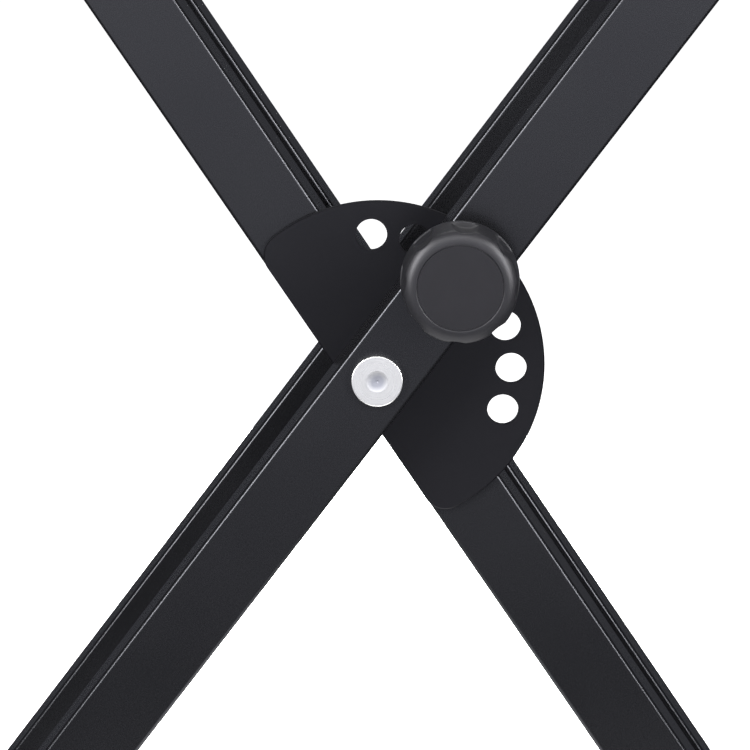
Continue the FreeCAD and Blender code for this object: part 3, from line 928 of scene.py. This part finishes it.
@dataclass
class LevellingCups:
    """The off-centre rubber cups on the foot bars: ribbed round the side; sizes in millimetres."""

    bore: float = 16.05
    bore_chamfer: float = 0.6
    depth: float = 34.0
    mouth: float = 3.5
    mouth_edge: float = 1.5
    face_edge: float = 3.0
    dish_radius: float = 17.0
    dish_depth: float = 0.9
    dish_edge: float = 0.5
    tip_radius: float = 2.0
    ribs: int = 36
    rib_depth: float = 1.1
    band_start: float = 8.0
    band_end: float = 31.0
    ramp: float = 1.0
    skin: float = 0.1
    smooth_angle: float = 50.0

    def outline(self, cup: Axis, bar: Axis) -> List[Station]:
        """The cup's rings from the floor of its bore, over the mouth and out to its end face.

        Args:
            cup: The CAD cup.
            bar: The foot bar in it.

        Returns:
            Its rings.
        """
        outer = cup.radius / MM
        length = cup.length()
        lift = cup.z - bar.z
        slope = self.bore_chamfer
        inside = [(self.bore, self.depth), (self.bore, slope), (self.bore + slope, 0.0)]
        corners: List[Corner] = [
            (self.bore + self.mouth, 0.0, 0.0),
            (outer, 0.0, self.mouth_edge),
            (outer, self.band_start, 0.0),
            (outer, self.band_start + self.ramp, 0.0),
            (outer, self.band_end - self.ramp, 0.0),
            (outer, self.band_end, 0.0),
            (outer, length, self.face_edge),
            (self.dish_radius, length, self.dish_edge),
            (self.dish_radius - self.dish_depth, length - self.dish_depth, self.dish_edge),
            (self.tip_radius, length - self.dish_depth, 0.0),
        ]
        rings = [Station(r * MM, cup.back - y * MM) for r, y in inside]
        return rings + [Station(r * MM, cup.back - y * MM, lift) for r, y in rounded(corners)]

    def cut_ribs(self, piece: bpy.types.Object, cup: Axis) -> None:
        """Draws in every other pair of facets between the two plain bands."""
        turn = 2 * math.pi / (4 * self.ribs)
        near = cup.back - (self.band_start + self.ramp / 2) * MM
        far = cup.back - (self.band_end - self.ramp / 2) * MM

        def in_groove(place: Vector) -> bool:
            """Whether a point is on the ribbed band and between two ribs."""
            across, up = place.x - cup.x, place.z - cup.z
            on_side = math.hypot(across, up) > cup.radius - self.skin * MM
            return on_side and far < place.y < near and round(math.atan2(up, across) / turn) % 4 < 2

        Bench.pick(piece, in_groove)
        shrink = 1.0 - self.rib_depth * MM / cup.radius
        bpy.ops.transform.resize(value=(shrink, 1.0, shrink), center_override=(cup.x, cup.front, cup.z))
        bpy.ops.object.mode_set(mode="OBJECT")

    def build(self, palette: Palette) -> None:
        """Models the front left cup and copies it to the other three corners."""
        cup = Axis.of("front_left_foot")
        bar = Axis.of("outer_foot_bar")
        piece = Bench.turn("front_left_levelling_cup", bar, self.outline(cup, bar), 4 * self.ribs)
        self.cut_ribs(piece, cup)
        Bench.smooth(piece, self.smooth_angle)
        across = Matrix.Translation((Axis.of("inner_foot_bar").x - bar.x, 0.0, 0.0))
        places = (
            ("rear_left", Body.REAR_LEFT, bar.about_turn()),
            ("front_right", Body.FRONT_RIGHT, across),
            ("rear_right", Body.REAR_RIGHT, across @ bar.about_turn()),
        )
        for name, body, move in places:
            other = Bench.copy(piece, name + "_levelling_cup", move)
            install(other, body, Slot.FOOT_RUBBER, palette, name + "_foot")
        install(piece, Body.FRONT_LEFT, Slot.FOOT_RUBBER, palette, "front_left_foot")


@dataclass
class Welds:
    """The rippled bead where each leg meets its bar; sizes in millimetres."""

    leg_width: float = 30.0
    bead: float = 1.45
    flatness: float = 0.72
    spacing: float = 1.15
    wander: float = 0.12
    wander_step: float = 2.4
    segments: int = 12
    rings: int = 8
    voxel: float = 0.33
    melt: float = 0.5
    melt_rounds: int = 2
    smooth_angle: float = 70.0

    def path(self, bar: float, width: float, depth: float) -> List[Tuple[Vector, Vector]]:
        """Follows the edge of a coped leg end round its bar.

        Args:
            bar: The bar's radius.
            width: The leg's width.
            depth: The leg's depth.

        Returns:
            Places along the edge, with its direction at each; the bar's axis is Y and the leg hangs below.
        """
        swing = math.asin(width / 2 / bar)
        low = -bar * math.cos(swing)
        arc_steps = round(2 * swing * bar / self.spacing)
        side_steps = round(depth / self.spacing)
        line: List[Tuple[Vector, Vector]] = []
        for y, way in ((0.0, 1), (depth, -1)):
            for step in range(arc_steps):
                angle = way * swing * (2 * step / arc_steps - 1)
                place = Vector((bar * math.sin(angle), y, -bar * math.cos(angle)))
                line.append((place, Vector((way * math.cos(angle), 0.0, way * math.sin(angle)))))
            for step in range(side_steps):
                along = depth * step / side_steps
                place = Vector((way * width / 2, along if way > 0 else depth - along, low))
                line.append((place, Vector((0.0, way, 0.0))))
        return line

    def model(self, bar: Axis, leg: str) -> bpy.types.Object:
        """Lays overlapping drops along the edge and melts them into one bead.

        Args:
            bar: The bar's axis.
            leg: The leg's node, which gives the depth.

        Returns:
            The bead round a leg end that hangs below the origin.
        """
        low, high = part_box(leg)
        path = self.path(bar.radius / MM, self.leg_width, (high.y - low.y) / MM)
        Bench.start()
        ball = {"segments": self.segments, "ring_count": self.rings}
        bpy.ops.mesh.primitive_uv_sphere_add(radius=self.bead * MM, **ball)
        piece = bpy.context.object
        bpy.ops.object.mode_set(mode="EDIT")
        bpy.ops.mesh.delete(type="VERT")
        for count, (place, way) in enumerate(path):
            size = self.bead * (1.0 - self.wander * (1.0 + math.sin(self.wander_step * count)) / 2)
            bpy.ops.mesh.primitive_uv_sphere_add(
                radius=size * MM,
                location=place * MM,
                rotation=way.to_track_quat("X", "Z").to_euler(),
                scale=(self.flatness, 1.0, 1.0),
                **ball,
            )
        bpy.ops.object.mode_set(mode="OBJECT")
        Bench.modify(piece, "REMESH", mode="VOXEL", voxel_size=self.voxel * MM)
        Bench.modify(piece, "SMOOTH", factor=self.melt, iterations=self.melt_rounds)
        Bench.smooth(piece, self.smooth_angle)
        return piece

    def build(self, palette: Palette, pivot: Axis) -> None:
        """Models one bead and copies it to all eight leg ends."""
        model = self.model(Axis.of("outer_support_bar"), "outer_front_leg")
        for pair, body in (("outer", Body.OUTER), ("inner", Body.INNER)):
            top = Axis.of(pair + "_support_bar")
            lean = pivot.lean_to(top)
            ends = (("top", top, lean), ("foot", Axis.of(pair + "_foot_bar"), lean + math.pi))
            for row in ("front", "rear"):
                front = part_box(f"{pair}_{row}_leg")[0].y
                for end, bar, turn in ends:
                    move = Matrix.Translation((bar.x, front, bar.z)) @ Matrix.Rotation(turn, 4, "Y")
                    bead = Bench.copy(model, f"{pair}_{row}_{end}_weld", move)
                    install(bead, body, Slot.LEG_PAINT, palette)
        bpy.data.objects.remove(model)


@dataclass
class PivotNut:
    """The self-locking nut: a chamfered hexagon with a rolled collar; sizes in millimetres."""

    node: str = "pivot_nut"
    bolt: float = 6.0
    wall: float = 3.5
    hexagon: float = 8.0
    chamfer: float = 1.1
    flat_share: float = 0.97
    past_corner: float = 1.02
    thread: float = 6.05
    ring: float = 7.67
    collar: float = 8.87
    collar_root: float = 1.0
    collar_roll: float = 0.8
    collar_lip: float = 0.2
    smooth_angle: float = 30.0

    def build(self, palette: Palette, pivot: Axis, lean: float) -> None:
        """Chamfers a hexagon, adds the collar, bores it and fits it.

        Args:
            palette: The stand's finishes.
            pivot: The pivot's axis.
            lean: How far the outer legs lean.
        """
        low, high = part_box(self.node)
        corner = (self.bolt + self.wall) * 2 / math.sqrt(3) * MM
        seat, top = low.y, low.y + self.hexagon * MM
        Bench.start()
        bpy.ops.mesh.primitive_cylinder_add(
            vertices=6,
            radius=corner,
            depth=top - seat,
            location=(pivot.x, (seat + top) / 2, pivot.z),
            rotation=(math.pi / 2, lean + math.pi / 6, 0.0),
        )
        piece = bpy.context.object
        piece.name = "hexagon_nut"
        bpy.ops.object.transform_apply(location=True, rotation=True, scale=True)
        small = corner * math.cos(math.pi / 6) * self.flat_share
        large = corner * self.past_corner
        slope = self.chamfer * MM
        trim = [
            Station(small, seat),
            Station(large, seat + slope),
            Station(large, top - slope),
            Station(small, top),
        ]
        Bench.combine(piece, Bench.turn("chamfer_tool", pivot, trim), "INTERSECT")
        root = self.hexagon - self.collar_root
        height = (high.y - low.y) / MM
        corners: List[Corner] = [
            (self.ring, root, 0.0),
            (self.collar, root, 0.0),
            (self.collar, height, self.collar_roll),
            (self.ring, height, self.collar_lip),
            (self.ring, root, 0.0),
        ]
        collar = [Station(r * MM, seat + y * MM) for r, y in rounded(corners)]
        Bench.combine(piece, Bench.turn("collar_tool", pivot, collar), "UNION")
        bore = [Station(self.thread * MM, seat - MM), Station(self.thread * MM, high.y + MM)]
        Bench.combine(piece, Bench.turn("bore_tool", pivot, bore), "DIFFERENCE")
        Bench.close(piece)
        Bench.smooth(piece, self.smooth_angle)
        install(piece, Body.OUTER, Slot.ZINC_STEEL, palette, self.node)


@dataclass(frozen=True)
class SoftBox:
    """A studio light panel that faces a point; its glow is its brightness."""

    name: str
    place: Tuple[float, float, float]
    aim: Tuple[float, float, float]
    wide: float
    tall: float
    glow: float
    tint: Colour = (1.0, 1.0, 1.0)
    shine: bool = True

    def build(self) -> None:
        """Adds the light, out of the camera's sight; without shine it fills only and is not mirrored."""
        Bench.start()
        bpy.ops.object.light_add(type="AREA", location=self.place)
        lamp = bpy.context.object
        lamp.name = self.name
        lamp.data.shape = "RECTANGLE"
        lamp.data.size = self.wide
        lamp.data.size_y = self.tall
        lamp.data.color = self.tint
        lamp.data.energy = self.glow * math.pi * self.wide * self.tall
        lamp.rotation_euler = (Vector(self.aim) - Vector(self.place)).to_track_quat("-Z", "Y").to_euler()
        lamp.visible_camera = False
        lamp.visible_glossy = self.shine


@dataclass
class Studio:
    """Pale floor, soft light and the camera of the photograph."""

    azimuth: float = 0.727
    elevation: float = 12.987
    roll: float = 1.527
    distance: float = 1.0054
    lens: float = 124.6
    aside: float = -0.0009
    above: float = 0.00196
    sensor: float = 36.0
    floor_size: float = 60.0
    backdrop_share: float = 0.45
    sky: float = 0.08
    sky_tint: Colour = (0.92, 0.95, 1.1)
    strips: int = 6
    strip_width: float = 1.4
    strip_height: float = 0.13
    strip_away: float = 0.62
    strip_glow: float = 0.2
    strip_rise: float = 0.375
    strip_tint: Colour = (0.96, 0.97, 1.05)

    def set_stage(self, piece: bpy.types.Object, finish: PaleFloor) -> None:
        """Names and dresses a stage piece, whose white doesn't wash out the dark gloss."""
        piece.name = finish.name
        piece.data.materials.append(finish.material())
        piece.visible_glossy = False
        piece.visible_diffuse = False
        piece.visible_shadow = False

    def build_stage(self) -> None:
        """Lays the floor under the stand's feet and a white backdrop far around it."""
        Bench.start()
        bpy.ops.mesh.primitive_plane_add(size=self.floor_size)
        self.set_stage(bpy.context.object, PaleFloor())
        Bench.start()
        far = self.floor_size * self.backdrop_share
        bpy.ops.mesh.primitive_uv_sphere_add(segments=48, ring_count=24, radius=far)
        self.set_stage(bpy.context.object, PaleFloor("pale_backdrop", near_glow=(1.0, 1.0, 1.0)))

    def build_light(self, centre: Vector) -> None:
        """Hangs the light panels round a point and lights the room faintly."""
        world = bpy.data.worlds.new("studio")
        world.use_nodes = True
        background = world.node_tree.nodes["Background"]
        background.inputs["Color"].default_value = (*self.sky_tint, 1.0)
        background.inputs["Strength"].default_value = self.sky
        bpy.context.scene.world = world
        x, y, z = centre
        aim = (x, y, z)
        boxes = [
            SoftBox("left_panel", (x - 1.0, y - 1.0, z + 0.45), aim, 0.36, 1.0, 38.0),
            SoftBox("right_panel", (x + 1.0, y - 1.0, z + 0.45), aim, 0.36, 1.0, 34.0),
            SoftBox("top_panel", (x, y - 1.1, z + 0.95), aim, 1.2, 0.5, 8.0),
            SoftBox("overhead_panel", (x, y + 0.3, z + 1.4), (x, y + 0.3, z), 1.6, 1.0, 1.5),
            SoftBox("back_panel", (x, y + 1.6, z + 1.6), aim, 1.2, 0.8, 2.0),
            SoftBox("back_fill", (x, y + 1.5, z + 0.15), aim, 1.6, 1.2, 17.0, shine=False),
            SoftBox("floor_bounce", (x, y - 0.16, -0.02), (x, y - 0.16, 1.0), 0.46, 0.6, 2.9),
        ]
        for strip in range(self.strips):
            height = self.strip_height * (strip + 0.5)
            place = (x, y - self.strip_away, height)
            size = (self.strip_width, self.strip_height)
            glow = self.strip_glow + self.strip_rise * strip
            boxes.append(SoftBox(f"front_strip_{strip}", place, (x, y, height), *size, glow, self.strip_tint))
        for box in boxes:
            box.build()

    def build_camera(self, target: Vector) -> None:
        """Sets the camera at the photograph's angle, looking near a target."""
        azimuth = math.radians(self.azimuth)
        elevation = math.radians(self.elevation)
        roll = math.radians(self.roll)
        flat = math.cos(elevation)
        back = Vector((math.sin(azimuth) * flat, -math.cos(azimuth) * flat, math.sin(elevation)))
        right = Vector((math.cos(azimuth), math.sin(azimuth), 0.0))
        up = back.cross(right)
        level = math.cos(roll)
        tilt = math.sin(roll)
        turned = Matrix((right * level + up * tilt, up * level - right * tilt, back)).transposed()
        Bench.start()
        bpy.ops.object.camera_add()
        camera = bpy.context.object
        place = target + Vector((self.aside, 0.0, self.above)) + back * self.distance
        camera.matrix_world = Matrix.Translation(place) @ turned.to_4x4()
        camera.data.lens = self.lens
        camera.data.sensor_width = self.sensor
        bpy.context.scene.camera = camera

    def build(self, target: Vector) -> None:
        """Sets up the whole studio."""
        bpy.context.scene.view_settings.view_transform = "Standard"
        self.build_stage()
        self.build_light(target)
        self.build_camera(target)


def main() -> None:
    """Builds and dresses the stand, then the studio around it."""
    logging.basicConfig(level=logging.INFO)
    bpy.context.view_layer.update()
    pivot = Axis.of("pivot_bolt")
    leg_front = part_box("outer_front_leg")[0].y
    palette = Palette(pivot)
    palette.dress_nodes()
    Knob().build(palette)
    for pair, body in (("outer", Body.OUTER), ("inner", Body.INNER)):
        for row in ("front", "rear"):
            Sleeve(f"{pair}_{row}_sleeve", body).build(palette)
        BarPlug(pair + "_support_bar", pair + "_bar_caps", body).build(palette)
    LevellingCups().build(palette)
    Welds().build(palette, pivot)
    PivotNut().build(palette, pivot, pivot.lean_to(Axis.of("outer_support_bar")))
    Studio().build(Vector((pivot.x, leg_front, pivot.z)))


if __name__ == "__main__":
    main()
